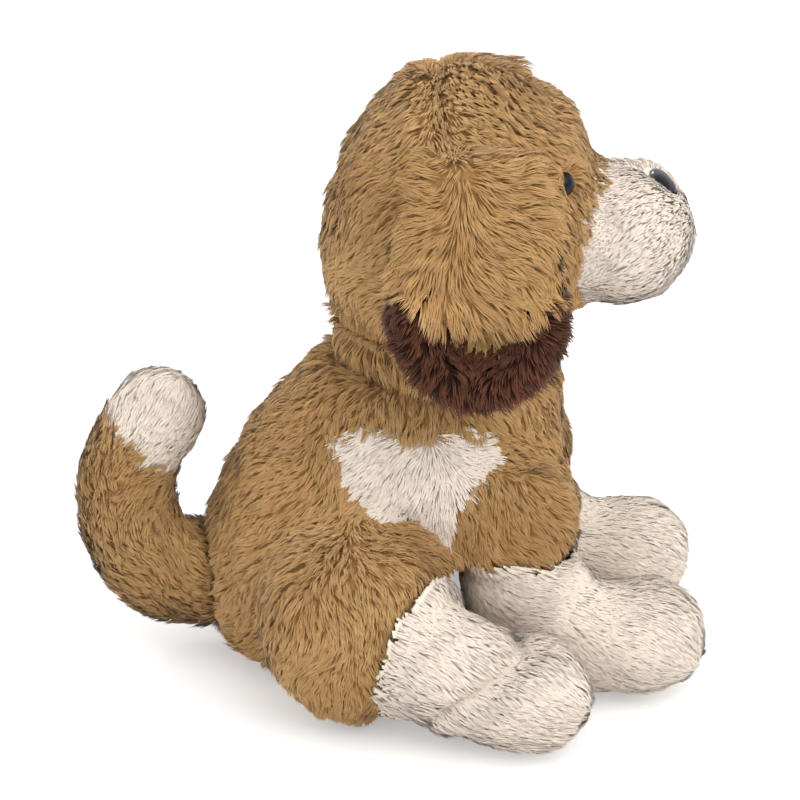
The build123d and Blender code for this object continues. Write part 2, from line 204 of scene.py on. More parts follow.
def moulded_material(name, dark, light, roughness, coat, shine=0.5):
    """Moulded plastic with the faint clouding and fine scratches of handling."""
    m = bpy.data.materials.new(name)
    m.use_nodes = True
    n, link = m.node_tree.nodes, m.node_tree.links
    bsdf = n["Principled BSDF"]
    bsdf.inputs["Specular IOR Level"].default_value = shine
    bsdf.inputs["Coat Weight"].default_value = coat
    bsdf.inputs["Coat Roughness"].default_value = 0.04
    where = n.new("ShaderNodeTexCoord")
    cloud = n.new("ShaderNodeTexNoise")
    cloud.inputs["Scale"].default_value = 160.0
    cloud.inputs["Detail"].default_value = 5.0
    link.new(where.outputs["Object"], cloud.inputs["Vector"])
    mix = n.new("ShaderNodeMix")
    mix.data_type = "RGBA"
    mix.inputs["A"].default_value = dark
    mix.inputs["B"].default_value = light
    link.new(cloud.outputs["Fac"], mix.inputs["Factor"])
    link.new(mix.outputs["Result"], bsdf.inputs["Base Color"])
    rough = n.new("ShaderNodeMapRange")
    rough.inputs["To Min"].default_value = roughness
    rough.inputs["To Max"].default_value = roughness + 0.08
    link.new(cloud.outputs["Fac"], rough.inputs["Value"])
    link.new(rough.outputs["Result"], bsdf.inputs["Roughness"])
    return m


# root, middle, tip and darker tone of each pile: the darker root is painted shade deep in the pile, the
# paler tip painted light on the lit tips
TAN = pile_material("tan_pile", linear(176, 132, 82), linear(200, 156, 100),
                    linear(212, 174, 124), linear(168, 125, 76), 0.9, 0.12)
CREAM = pile_material("cream_pile", linear(247, 231, 214), linear(248, 233, 217),
                      linear(249, 235, 220), linear(244, 227, 210), 0.9, 0.1)
BROWN = pile_material("brown_pile", linear(44, 23, 15), linear(84, 47, 32),
                      linear(134, 84, 56), linear(46, 24, 15), 0.8, 0.15)
# the tan and brown backings are darker than their pile: painted shade, so that the gaps between tufts read
# as shaded partings; the cream backing is as pale as its pile
TAN_BACK = backing_material("tan_backing", linear(166, 123, 76), linear(186, 142, 92))
CREAM_BACK = backing_material("cream_backing", linear(246, 231, 214), linear(250, 236, 220))
BROWN_BACK = backing_material("brown_backing", linear(34, 18, 13), linear(54, 30, 22))
GLOSS = moulded_material("black_gloss", linear(5, 6, 11), linear(12, 14, 22), 0.2, 0.05, 0.22)
WASHER = moulded_material("washer_plastic", linear(214, 214, 208), linear(232, 232, 228), 0.35, 0.0)
CLOTH = backing_material("pouch_cloth", linear(205, 200, 190), linear(226, 222, 214))
BEANS = moulded_material("beans", linear(196, 198, 200), linear(226, 228, 230), 0.3, 0.1)

# pile and backing of each cloth
PILES = {"tan_pile": (TAN, TAN_BACK), "cream_pile": (CREAM, CREAM_BACK),
         "brown_pile": (BROWN, BROWN_BACK)}


# ---------------------------------------------------------------- mesh tools
def mm(*v):
    """Millimetres as metres."""
    return np.array(v, float) / 1000.0


def cad_mesh(names):
    """Corners and triangles of CAD nodes together, at rest."""
    corners, tris, shift = [], [], 0
    for name in names:
        o = nodes[name]
        me = o.data
        me.calc_loop_triangles()
        co = np.empty(len(me.vertices) * 3)
        me.vertices.foreach_get("co", co)
        co = co.reshape(-1, 3)
        w = np.array(o.matrix_world)
        co = co @ w[:3, :3].T + w[:3, 3]
        t = np.empty(len(me.loop_triangles) * 3, dtype=np.int64)
        me.loop_triangles.foreach_get("vertices", t)
        corners.append(co)
        tris.append(t.reshape(-1, 3) + shift)
        shift += len(co)
    return np.vstack(corners), np.vstack(tris)


def new_object(name, corners, faces):
    """A mesh object in the scene."""
    me = bpy.data.meshes.new(name)
    me.from_pydata([tuple(c) for c in corners], [], [tuple(int(i) for i in f) for f in faces])
    me.update()
    o = bpy.data.objects.new(name, me)
    bpy.context.scene.collection.objects.link(o)
    return o


def settle(o):
    """Applies the object's modifiers."""
    bpy.context.view_layer.update()
    dg = bpy.context.evaluated_depsgraph_get()
    me = bpy.data.meshes.new_from_object(o.evaluated_get(dg), depsgraph=dg)
    old = o.data
    o.modifiers.clear()
    o.data = me
    bpy.data.meshes.remove(old)


def places(o):
    """The object's points."""
    co = np.empty(len(o.data.vertices) * 3)
    o.data.vertices.foreach_get("co", co)
    return co.reshape(-1, 3)


def place(o, co):
    """Moves the object's points to co."""
    o.data.vertices.foreach_set("co", np.ascontiguousarray(co, dtype=np.float32).ravel())
    o.data.update()


def directions(o):
    """The object's outward directions, point by point."""
    nor = np.empty(len(o.data.vertices) * 3)
    o.data.vertices.foreach_get("normal", nor)
    return nor.reshape(-1, 3)


def unit(v):
    """The same direction, 1 long."""
    return v / np.maximum(np.linalg.norm(v, axis=-1, keepdims=True), 1e-12)


def relax(o, times, share=0.5):
    """Evens the form out the way stuffing rounds off a sewn edge."""
    me = o.data
    e = np.empty(len(me.edges) * 2, dtype=np.int64)
    me.edges.foreach_get("vertices", e)
    e = e.reshape(-1, 2)
    co = places(o)
    count = np.bincount(e.ravel(), minlength=len(co))[:, None]
    for _ in range(times):
        total = np.zeros_like(co)
        for k in range(3):
            total[:, k] = (np.bincount(e[:, 0], co[e[:, 1], k], len(co))
                           + np.bincount(e[:, 1], co[e[:, 0], k], len(co)))
        co = co + share * (total / np.maximum(count, 1) - co)
    place(o, co)


def ripple(co, wave, seed, terms=7):
    """Smooth irregular values, about -1..1, that change over wave metres."""
    rng = np.random.default_rng(seed)
    out = np.zeros(len(co))
    for _ in range(terms):
        k = unit(rng.normal(size=3)) * 2 * math.pi / (wave * rng.uniform(0.7, 1.4))
        out += np.sin(co @ k + rng.uniform(0, 2 * math.pi))
    return out / math.sqrt(terms)


def plump(o):
    """Fills the sewn form with pressure, and lets no point move more than the filling's reach."""
    start = places(o)
    m = o.modifiers.new("filling", "CLOTH")
    s = m.settings
    s.use_pressure = True
    s.uniform_pressure_force = FILL_PRESSURE
    s.effector_weights.gravity = 0.0
    s.quality = 4
    m.collision_settings.use_self_collision = False
    m.point_cache.frame_start = 1
    m.point_cache.frame_end = FILL_FRAMES
    scene = bpy.context.scene
    for f in range(1, FILL_FRAMES + 1):
        scene.frame_set(f)
    settle(o)
    scene.frame_set(1)
    move = places(o) - start
    far = np.linalg.norm(move, axis=1, keepdims=True)
    move *= np.minimum(1.0, FILL_REACH / np.maximum(far, 1e-9))
    place(o, start + move)


def seat(node, aim, shift):
    """A dome's top and the way it faces: the outer end of its CAD node, moved by shift."""
    aim = unit(np.array(aim, float))
    co, _ = cad_mesh([node])
    reach = (co @ aim).max()
    top = co[(co @ aim) > reach - 0.0006].mean(axis=0)
    return top + np.array(shift, float), aim


def seated(tree, at, aim, proud):
    """The dome's top, proud of the backing that it is pressed into."""
    hit = tree.ray_cast(Vector(at + aim * 0.03), Vector(-aim))[0]
    return np.array(hit) + aim * proud


EYES = [seat("eye_left", (0.92, 0.34, 0.20), mm(-15.0, 6.0, -6.8)),
        seat("eye_right", (0.92, -0.34, 0.20), mm(-15.0, -6.0, -6.8))]
NOSE = seat("nose", (math.cos(NOSE_TILT), 0, math.sin(NOSE_TILT)), mm(-3.3, 0, -4.6))


# ---------------------------------------------------------------- moulds and folds of the forms
def bell(x, reach):
    """1 at x = 0, falling off smoothly over reach."""
    return np.exp(-(x / reach) ** 2)


def step_up(x, low, high):
    """0 below low, 1 above high, smooth between them."""
    t = np.clip((x - low) / (high - low), 0, 1)
    return t * t * (3 - 2 * t)


def carve_hindleg(co):
    """The fold where the shin meets the foot, and the foot's fuller heel and toe."""
    s = 0.62 * (co[:, 0] - 0.075) - 0.79 * (co[:, 2] - 0.046)
    ahead = step_up(co[:, 0], 0.045, 0.062)
    toe = step_up(s, 0.0, 0.016) * ahead
    return -0.0052 * bell(s, 0.0055) * ahead + 0.0022 * toe


def carve_foreleg(co):
    """The slight waist above the paw."""
    return -0.0022 * bell(co[:, 0] - 0.143 + 0.4 * (co[:, 2] - 0.05), 0.010)


def elbow(co, nor):
    """Fills the elbow out towards the thigh, between shoulder and floor."""
    y = np.abs(co[:, 1])
    leg = step_up(y, 0.016, 0.028) * (1 - step_up(y, 0.086, 0.096)) * step_up(co[:, 0], 0.062, 0.072)
    back = step_up(-nor[:, 0], 0.05, 0.75) * bell(co[:, 2] - 0.066, 0.036) * leg
    out = co.copy()
    out[:, 0] -= 0.013 * back
    return out


def flush_shoulder(co, nor):
    """Presses the shoulder into line with the chest."""
    out = elbow(co, nor)
    there = (step_up(co[:, 0], 0.060, 0.080) * step_up(co[:, 2], 0.085, 0.105)
             * (1 - step_up(co[:, 2], 0.160, 0.175)))
    y = np.abs(out[:, 1])
    out[:, 1] = np.sign(out[:, 1]) * (y - there * 0.75 * np.maximum(y - CHEST_HALF, 0))
    return out


def trunk_mould(co, nor):
    """Both leg moulds, and shoulders that slope up to the neck."""
    out = tucked_foot(flush_shoulder(co, nor), nor)
    out[:, 1] *= 1 - 0.17 * step_up(co[:, 2], 0.150, 0.198)
    return out


def full_paw(co, nor):
    """Fills the forepaw out past its seam with the sleeve."""
    return flush_shoulder(co, nor) + nor * (0.0026 * step_up(co[:, 0], 0.126, 0.146))[:, None]


def tucked_foot(co, nor):
    """Draws the foot's outer side in, so that it lies closer to the forepaw."""
    out = co.copy()
    foot = step_up(co[:, 0], 0.035, 0.075)
    y = np.abs(co[:, 1])
    out[:, 1] = np.sign(co[:, 1]) * (y - foot * 0.26 * np.maximum(y - 0.098, 0))
    out[:, 0] -= 0.10 * np.maximum(co[:, 0] - 0.100, 0)
    return out


def head_mould(co, nor):
    """Draws the head's lower rim in to the neck, flattens its back, and rounds its brow."""
    out = co.copy()
    low = 1 - step_up(co[:, 2], 0.205, 0.246)
    out[:, 0] += low * 0.10 * (NECK_X - co[:, 0])
    out[:, 1] -= low * 0.10 * co[:, 1]
    out[:, 0] += 0.007 * step_up(co[:, 2], 0.285, 0.325) * (1 - step_up(co[:, 0], 0.02, 0.06))
    corner = bell(co[:, 0] - 0.118, 0.022) * step_up(co[:, 2], 0.325, 0.350)
    muzzle = step_up(co[:, 0], 0.150, 0.168) * (0.0012 + 0.0016 * step_up(-nor[:, 2], 0.2, 0.9))
    return out + nor * (muzzle - 0.0036 * corner)[:, None]


def carve_head(co):
    """The seam over the crown, the dip between brow and muzzle, and the pocket under the nose."""
    top = step_up(co[:, 2], 0.315, 0.335)
    dip = bell(co[:, 0] - 0.150, 0.010) * step_up(co[:, 2], 0.262, 0.280)
    pocket = bell(np.linalg.norm(co - NOSE[0], axis=1), 0.016)
    return -0.0040 * bell(co[:, 0] - 0.060, 0.0045) * top - 0.0015 * dip - 0.0050 * pocket


# ---------------------------------------------------------------- the stuffed forms and their pelts
def stuffed_form(name, cad_names, smooth, depth, lump, seed, mould, carve):
    """One closed stuffed form in the space of its CAD nodes: remeshed, rounded, filled, dimpled."""
    corners, tris = cad_mesh(cad_names)
    o = new_object(name, corners, tris)
    m = o.modifiers.new("cells", "REMESH")
    m.mode = "VOXEL"
    m.voxel_size = VOXEL
    settle(o)
    relax(o, smooth)
    if mould:
        place(o, mould(places(o), directions(o)))
    co = places(o)
    co = co - directions(o) * (depth + FILL_REACH * 0.5)
    place(o, co)
    relax(o, 2)
    plump(o)
    sub = o.modifiers.new("finer", "SUBSURF")
    sub.levels = sub.render_levels = 1
    settle(o)
    co, nor = places(o), directions(o)
    out = lump * (0.65 * ripple(co, 0.055, seed) + 0.35 * ripple(co, 0.022, seed + 1))
    if carve:
        out += carve(co)
    co = co + nor * out[:, None]
    co[:, 2] = np.maximum(co[:, 2], FLOOR_GAP)
    place(o, co)
    return o


def tree_of(name):
    """A CAD node, for finding the nearest point on it."""
    corners, tris = cad_mesh([name])
    return BVHTree.FromPolygons([tuple(c) for c in corners], [tuple(int(i) for i in t) for t in tris])


def face_classes(o, names):
    """Each face's middle, and the index of the CAD node that it lies nearest to."""
    near = [tree_of(name) for name in names]
    me = o.data
    mid = np.empty(len(me.polygons) * 3)
    me.polygons.foreach_get("center", mid)
    mid = mid.reshape(-1, 3)
    far = np.array([[t.find_nearest(Vector(c))[3] for t in near] for c in mid])
    return mid, far.argmin(axis=1)


def part_of(o, keep, name):
    """The kept faces of o as a closed mesh of their own: its open rim is capped."""
    me = o.data
    co = places(o)
    faces = [tuple(p.vertices) for p, k in zip(me.polygons, keep) if k]
    edges = {}
    for f in faces:
        for a, b in zip(f, f[1:] + f[:1]):
            edges[(a, b)] = True
    rim = {a: b for (a, b) in edges if (b, a) not in edges}
    caps, extra = [], []
    while rim:
        a, b = rim.popitem()
        loop = [a]
        while b in rim:
            loop.append(b)
            b = rim.pop(b)
        centre = co[loop].mean(axis=0)
        c = len(co) + len(extra)
        extra.append(centre)
        if b == a:
            loop.append(a)
        caps += [(q, p, c) for p, q in zip(loop, loop[1:])]
    allco = np.vstack([co, np.array(extra).reshape(-1, 3)])
    used = sorted({i for f in faces + caps for i in f})
    index = {v: i for i, v in enumerate(used)}
    return new_object(name, allco[used], [tuple(index[i] for i in f) for f in faces + caps])


# ---------------------------------------------------------------- pile
def sow(o, keep, density, rng):
    """Random places on the kept faces of o: points, smooth normals."""
    me = o.data
    me.calc_loop_triangles()
    t = np.empty(len(me.loop_triangles) * 3, dtype=np.int64)
    me.loop_triangles.foreach_get("vertices", t)
    t = t.reshape(-1, 3)
    poly = np.empty(len(me.loop_triangles), dtype=np.int64)
    me.loop_triangles.foreach_get("polygon_index", poly)
    co, nor = places(o), directions(o)
    a, b, c = co[t[:, 0]], co[t[:, 1]], co[t[:, 2]]
    area = np.linalg.norm(np.cross(b - a, c - a), axis=1) / 2 * keep[poly]
    many = int(area.sum() * density)
    pick = rng.choice(len(t), size=many, p=area / area.sum())
    r1, r2 = np.sqrt(rng.random(many))[:, None], rng.random(many)[:, None]
    w = np.hstack([1 - r1, r1 * (1 - r2), r1 * r2])
    point = sum(w[:, k:k + 1] * co[t[pick, k]] for k in range(3))
    normal = unit(sum(w[:, k:k + 1] * nor[t[pick, k]] for k in range(3)))
    return point, normal


def uncovered(point, normal, others):
    """True where the tuft isn't buried in another stuffed form."""
    ok = np.ones(len(point), dtype=bool)
    probe = point + normal * 0.005
    for low, high, tree in others:
        near = np.where(((probe > low) & (probe < high)).all(axis=1) & ok)[0]
        for i in near:
            hit, n, _, far = tree.find_nearest(Vector(probe[i]))
            if far < 0.03 and (Vector(probe[i]) - hit).dot(n) < -0.001:
                ok[i] = False
    return ok


def tufts(name, point, normal, lay, length, lift, width, lock, seed, slot, body):
    """Closed tapered tufts combed along lay, lock of them to a lock, as pieces that ride with body when it
    is one body.
    """
    rng = np.random.default_rng(seed)
    many = len(point)
    lay = unit(lay - normal * (lay * normal).sum(1, keepdims=True))
    side = np.cross(normal, lay)
    # every lock has a leader: its turn, lift and shade are shared by the tufts round it
    leaders = rng.permutation(many)[:many // lock]
    kd = KDTree(len(leaders))
    for i, j in enumerate(leaders):
        kd.insert(Vector(point[j]), i)
    kd.balance()
    own = np.array([kd.find(Vector(p))[1] for p in point])
    lead = leaders[own]
    loose = LOOSENESS[slot]
    turn_lead = rng.normal(0, 0.24 * loose, len(leaders))[own]
    lift_lead = rng.normal(0, 0.07 * loose, len(leaders))[own]
    shade_lead = rng.normal(0, 0.12, len(leaders))[own]
    size_lead = rng.uniform(0.8, 1.15, len(leaders))[own]
    swirl = 0.38 * loose * ripple(point, 0.05, seed + 11)
    turn = turn_lead + swirl + rng.normal(0, 0.12 * loose, many)
    d = lay * np.cos(turn)[:, None] + side * np.sin(turn)[:, None]
    size = (length * size_lead * rng.uniform(0.85, 1.12, many))[:, None]
    rise = np.clip(lift + lift_lead + 0.08 * loose * ripple(point, 0.03, seed + 12)
                   + rng.normal(0, 0.05 * loose, many), 0.10, 1.25)[:, None]
    tip = size * (d * np.cos(rise) + normal * np.sin(rise))
    # tips of a lock close in on their leader's tip
    lead_tip = point[lead] + tip[lead]
    pull = LOCK_PULL[slot]
    end = (point + tip) * (1 - pull) + (lead_tip + 0.3 * (point - point[lead])) * pull
    mid = point + 0.5 * (end - point) + normal * size * 0.13
    sunk = point - normal * SUNK
    along = unit(end - sunk)
    broad = unit(np.cross(along, normal))
    up = np.cross(broad, along)
    spin = rng.normal(0, 0.35 * loose * loose, many)[:, None]
    flat = broad * np.cos(spin) + up * np.sin(spin)
    deep = up * np.cos(spin) - broad * np.sin(spin)
    wide = (width * rng.uniform(0.8, 1.2, many))[:, None]
    thick = 0.35 + 0.35 * loose
    # three corners round the root, three round the middle, and the tip
    rings = []
    for centre, w in ((sunk, 0.42), (mid, 0.5)):
        rings += [centre + wide * w * flat, centre - wide * w * flat, centre - wide * w * thick * deep]
    rings.append(end)
    verts = np.stack(rings, axis=1)
    # fine pile scatters light like the whole coat, so a tuft is shaded by the coat's direction
    out = unit(normal + 0.18 * deep)
    facing = np.stack([unit(out + 0.12 * flat), unit(out - 0.12 * flat), out] * 2 + [out], axis=1)
    verts[:, :, 2] = np.maximum(verts[:, :, 2], FLOOR_GAP)
    # a tuft's shade is partly the pile's own tone, differing at random by lock and tuft, and partly painted
    # shade that parts the locks; locks turned further from the lay get more painted shade
    shade = np.clip(0.68 + shade_lead + rng.normal(0, 0.07, many)
                    + 0.16 * ripple(point, 0.07, seed + 13) - 0.10 * np.abs(turn_lead), 0.03, 0.97)
    order = np.argsort(point[:, 0] + 0.35 * point[:, 2], kind="stable")
    pieces = -(-many // MOST_TUFTS)
    # quads between the two rings, then the triangles at the tip and across the root
    face = np.array([[1, 0, 3, 4], [2, 1, 4, 5], [0, 2, 5, 3]])
    point3 = np.array([[4, 3, 6], [5, 4, 6], [3, 5, 6], [0, 1, 2]])
    level = np.array([0, 0, 0, 0.5, 0.5, 0.5, 1.0])
    for k in range(pieces):
        pick = order[k * many // pieces:(k + 1) * many // pieces]
        m = len(pick)
        base = (np.arange(m) * 7)[:, None, None]
        quads = (face[None] + base).reshape(m, -1)
        tri = (point3[None] + base).reshape(m, -1)
        loops = np.hstack([quads, tri]).ravel()
        sizes = np.tile([4, 4, 4, 3, 3, 3, 3], m)
        starts = np.concatenate([[0], np.cumsum(sizes)[:-1]])
        me = bpy.data.meshes.new(f"{name}_{k + 1}")
        me.vertices.add(m * 7)
        me.vertices.foreach_set("co", verts[pick].astype(np.float32).ravel())
        me.loops.add(len(loops))
        me.loops.foreach_set("vertex_index", loops.astype(np.int32))
        me.polygons.add(m * 7)
        me.polygons.foreach_set("loop_start", starts.astype(np.int32))
        me.polygons.foreach_set("use_smooth", np.ones(m * 7, dtype=bool))
        me.update(calc_edges=True)
        uv = me.uv_layers.new(name="OFBake")
        at = np.empty((len(loops), 2), dtype=np.float32)
        at[:, 0] = shade[pick][loops // 7]
        at[:, 1] = 0.02 + 0.96 * level[loops % 7]
        uv.data.foreach_set("uv", at.ravel())
        shading = me.attributes.new("custom_normal", "FLOAT_VECTOR", "POINT")
        shading.data.foreach_set("vector", facing[pick].astype(np.float32).ravel())
        me.materials.append(PILES[slot][0])
        o = bpy.data.objects.new(f"{name}_{k + 1}", me)
        bpy.context.scene.collection.objects.link(o)
        joined_to(o, body)


def joined_to(o, body):
    """o rides on a body; for a pair of them, (a, b, start, end), its place is only baked into its mesh, and
    it rides on neither.
    """
    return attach(o, body) if isinstance(body, str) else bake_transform(o)


# ---------------------------------------------------------------- how the pile lies
def away_from(point, a, b):
    """Away from the line a-b, for pile that fans out from a seam."""
    d = b - a
    t = np.clip(((point - a) @ d) / (d @ d), 0, 1)
    return point - (a + t[:, None] * d)


def side_of(p):
    """1 on the left, -1 on the right."""
    return np.sign(p[:, 1])[:, None]


def across(p, *steps):
    """Mixes directions along X: (x, direction), ..."""
    xs = [x for x, _ in steps]
    return np.stack([np.interp(p[:, 0], xs, [d[k] for _, d in steps]) for k in range(3)], axis=1)


def fan(p, a, b, soft, down):
    """Pile that fans out from the line a-b, seen from the side, and hangs down along it."""
    v = away_from(p * [1, 0, 1], a, b)
    far = np.linalg.norm(v, axis=1, keepdims=True)
    return v / (far + soft) + np.array([0.0, 0.0, -down])


def lay_torso(p):
    return across(p, (-0.045, (-1.0, 0, -0.55)), (0.005, (-0.35, 0, -1.0)), (0.06, (0.1, 0, -1.0)),
                  (0.105, (0.8, 0, -0.8)), (0.14, (0.3, 0, -1.0)))


def lay_patch(p):
    return fan(p, mm(56, 0, 152), mm(64, 0, 142), 0.022, 0.35)


def lay_head(p):
    v = across(p, (0.02, (-0.9, 0, -0.5)), (0.052, (-0.7, 0, -0.55)), (0.066, (0.55, 0, -0.75)),
               (0.125, (0.7, 0, -0.7)), (0.145, (0.1, 0, -1.0)))
    crown = step_up(p[:, 2], 0.325, 0.355)[:, None]
    nape = (1 - step_up(p[:, 2], 0.225, 0.262))[:, None] * (1 - step_up(p[:, 0], 0.10, 0.13))[:, None]
    return (v + side_of(p) * crown * [0, 0.9, 0]) * (1 - nape) + nape * np.array([0.0, 0.0, -1.2])


def lay_muzzle(p):
    return (p - mm(222, 0, 268)) * [1, 1.4, 1.4] + np.array([0.0, 0, -0.012])


def lay_down(p):
    return np.tile([0.15, 0.0, -1.0], (len(p), 1))


def lay_ear(p):
    return fan(p, mm(67, 0, 340), mm(71, 0, 282), 0.010, 0.45)


def lay_roll(p):
    return fan(p, mm(72, 0, 262), mm(86, 0, 262), 0.004, 0.3)


def lay_paw(p):
    return np.tile([1.0, 0.0, -0.45], (len(p), 1)) + side_of(p) * [0, 0.1, 0]


def lay_sleeve(p):
    return across(p, (0.07, (0.1, 0, -1.0)), (0.11, (0.85, 0, -0.75)), (0.15, (0.6, 0, -1.0)))


def lay_thigh(p):
    return fan(p, mm(2, 0, 108), mm(12, 0, 112), 0.020, 0.5) + side_of(p) * [0, 0.1, 0]


def lay_foot(p):
    return np.tile([0.9, 0.0, -0.35], (len(p), 1)) + side_of(p) * [0, 0.35, 0]


def lay_tail(p):
    # along the tail, towards its tip
    spine = np.array([mm(-77, 0, 40), mm(-101, 0, 54), mm(-115, 0, 76), mm(-119, 0, 101),
                      mm(-112, 0, 126), mm(-96, 0, 152)])
    far = np.stack([np.linalg.norm(p - q, axis=1) for q in spine], axis=1)
    i = np.clip(far.argmin(axis=1), 0, len(spine) - 2)
    return spine[i + 1] - spine[i]


# the heart's outline on the right flank, level forward and up
HEART = mm((-1, 0, 163), (14, 0, 172), (30, 0, 173), (46, 0, 167), (58, 0, 170), (74, 0, 172),
           (88, 0, 168), (96, 0, 154), (97, 0, 138), (89, 0, 119), (76, 0, 106), (62, 0, 98), (48, 0, 103),
           (33, 0, 113), (18, 0, 126), (5, 0, 144))[:, [0, 2]]
HEART = (HEART - HEART.mean(axis=0)) * 0.88 + HEART.mean(axis=0) - [0.0, 0.002]


def inside(outline, x, z):
    """True for the points within a closed outline."""
    hit = np.zeros(len(x), dtype=bool)
    for (x1, z1), (x2, z2) in zip(outline, np.roll(outline, -1, axis=0)):
        crosses = (z1 > z) != (z2 > z)
        at = x1 + (z - z1) * (x2 - x1) / (z2 - z1 if z2 != z1 else 1e-9)
        hit ^= crosses & (x < at)
    return hit


def ear_edge(x):
    """Height of the tan flap's lower edge, from the back of the ear to its front."""
    return np.interp(x, mm(28, 44, 55, 70, 83, 95, 103, 111, 119, 125),
                     mm(262, 262, 254, 242, 233, 236, 248, 257, 260, 296))


def sort_torso(mid, group, names):
    """The heart's own outline parts the cream patch from the tan body."""
    heart = inside(HEART, mid[:, 0], mid[:, 2]) & (mid[:, 1] < -0.045)
    tan, patch = names.index("body_pelt"), names.index("heart_patch")
    group = np.where(group == patch, tan, group)
    return np.where(heart & (group == tan), patch, group)


def sort_ear(mid, group, names):
    """The lining is tan where the flap's fur grows over it, on the outer side above the edge."""
    bound = np.where(np.abs(mid[:, 1]) > 0.083 + 0.185 * (0.328 - mid[:, 2]), ear_edge(mid[:, 0]), 1.0)
    bound = np.where(mid[:, 2] > 0.318, 0.0, bound)
    return np.where(mid[:, 2] > bound, 0, 1)


def hind_blend(side, y):
    """The thigh's pelt's carrier: torso and hind leg, with a start and an end between them."""
    return ("torso", f"hindleg_{side}", tuple(mm(-34, y, 86)), tuple(mm(40, y, 52)))


def fore_blend(side, y):
    """The sleeve's pelt's carrier: torso and foreleg, with a start and an end between them."""
    return ("torso", f"foreleg_{side}", tuple(mm(104, y, 150)), tuple(mm(116, y, 100)))


def pelt(slot, name, carrier, stands_for, near, lay, length, lift, width, density, lock):
    """One pelt: its piece, what carries it, the CAD nodes it stands for, its CAD skin, and its pile."""
    return {"slot": slot, "name": name, "carrier": carrier, "stands_for": stands_for, "near": near,
            "lay": lay, "length": length, "lift": lift, "width": width, "density": density, "lock": lock}


def covered(near):
    """A stretch of a form that another form's pelt clothes."""
    return {"name": "", "near": near}


def form(name, cad_names, smooth, lump, seed, pelts, mould=None, carve=None, sort=None):
    """One stuffed form and the pelts that clothe it."""
    return {"name": name, "cad_names": cad_names, "smooth": smooth, "lump": lump, "seed": seed,
            "pelts": pelts, "mould": mould, "carve": carve, "sort": sort}


SIDES = (("left", 1), ("right", -1))
LEGS = ("foreleg", "hindleg")


def leg_nodes(leg, side, *kinds):
    """Names of one leg's CAD nodes."""
    return [f"{leg}_{side}_{kind}" for kind in kinds]


def trunk():
    """Body with the sleeves of all four legs, so that they run into one another."""
    cad_names = ["body_skin", "flank_patch", "body_stuffing"]
    pelts = [pelt("tan_pile", "body_pelt", "torso", ["body_skin", "body_stuffing"], "body_skin",
                  lay_torso, 0.0110, 0.30, FIBRE, DENSE, 9),
             pelt("cream_pile", "heart_patch", "torso", ["flank_patch"], "flank_patch",
                  lay_patch, 0.0108, 0.18, WIDE, CLOSE, 9)]
    for leg in LEGS:
        for side, _ in SIDES:
            cad_names += leg_nodes(leg, side, "sleeve", "stuffing")
    for side, s in SIDES:
        pelts.append(pelt("tan_pile", f"thigh_{side}", hind_blend(side, s * 95),
                          leg_nodes("hindleg", side, "sleeve", "stuffing"), f"hindleg_{side}_sleeve",
                          lay_thigh, 0.0110, 0.30, FIBRE, DENSE, 9))
    for side, s in SIDES:
        pelts.append(pelt("tan_pile", f"foreleg_{side}_upper", fore_blend(side, s * 53),
                          leg_nodes("foreleg", side, "sleeve", "stuffing"), f"foreleg_{side}_sleeve",
                          lay_sleeve, 0.0110, 0.32, FIBRE, DENSE, 9))
    pelts += [covered(f"{leg}_{side}_paw") for leg in LEGS for side, _ in SIDES]
    return form("trunk", cad_names, 12, 0.0014, 3, pelts, mould=trunk_mould, sort=sort_torso)


def neck():
    return form("neck", ["neck_band", "neck_stuffing"], 6, 0.001, 5, [
        pelt("tan_pile", "neck_pelt", "neck", ["neck_band", "neck_stuffing"], "neck_band",
             lay_down, 0.013, 0.55, FIBRE, DENSE, 9)])


def head():
    return form("head", ["head_skin", "muzzle_skin", "head_stuffing"], 10, 0.0014, 7, [
        pelt("tan_pile", "head_pelt", "head", ["head_skin", "head_stuffing"], "head_skin",
             lay_head, 0.0108, 0.30, FIBRE, DENSE, 9),
        pelt("cream_pile", "muzzle_pelt", "head", ["muzzle_skin"], "muzzle_skin",
             lay_muzzle, 0.0080, 0.19, WIDE, CLOSE, 8)], mould=head_mould, carve=carve_head)


def tail():
    return form("tail", ["tail_sleeve", "tail_tip", "tail_stuffing"], 5, 0.0010, 9, [
        pelt("tan_pile", "tail_pelt", "tail", ["tail_sleeve", "tail_stuffing"], "tail_sleeve",
             lay_tail, 0.0108, 0.30, FIBRE, DENSE, 9),
        pelt("cream_pile", "tail_tip_pelt", "tail", ["tail_tip"], "tail_tip",
             lay_tail, 0.0105, 0.18, WIDE, CLOSE, 8)])


def ear(side):
    name = f"ear_{side}"
    return form(name, [f"{name}_outer", f"{name}_lining"], 5, 0.0012, 11, [
        pelt("tan_pile", f"{name}_flap", name, [f"{name}_outer"], f"{name}_outer",
             lay_ear, 0.0140, 0.30, FIBRE, DENSE, 11),
        pelt("brown_pile", f"{name}_roll", name, [f"{name}_lining"], f"{name}_lining",
             lay_roll, 0.0105, 0.36, FIBRE, 0.8 * DENSE, 8)], sort=sort_ear)


def foreleg(side):
    name = f"foreleg_{side}"
    return form(name, leg_nodes("foreleg", side, "sleeve", "paw", "stuffing"), 7, 0.0012, 13, [
        covered(f"{name}_sleeve"),
        pelt("cream_pile", f"forepaw_{side}", name, [f"{name}_paw"], f"{name}_paw",
             lay_paw, 0.0105, 0.18, WIDE, CLOSE, 8)], mould=full_paw, carve=carve_foreleg)


def hindleg(side):
    name = f"hindleg_{side}"
    return form(name, leg_nodes("hindleg", side, "sleeve", "paw", "stuffing"), 7, 0.0012, 15, [
        covered(f"{name}_sleeve"),
        pelt("cream_pile", f"hindfoot_{side}", name, [f"{name}_paw"], f"{name}_paw",
             lay_foot, 0.0105, 0.18, WIDE, CLOSE, 8)], mould=tucked_foot, carve=carve_hindleg)


FORMS = [trunk(), neck(), head(), tail()]
for side, _ in SIDES:
    FORMS += [ear(side), foreleg(side), hindleg(side)]

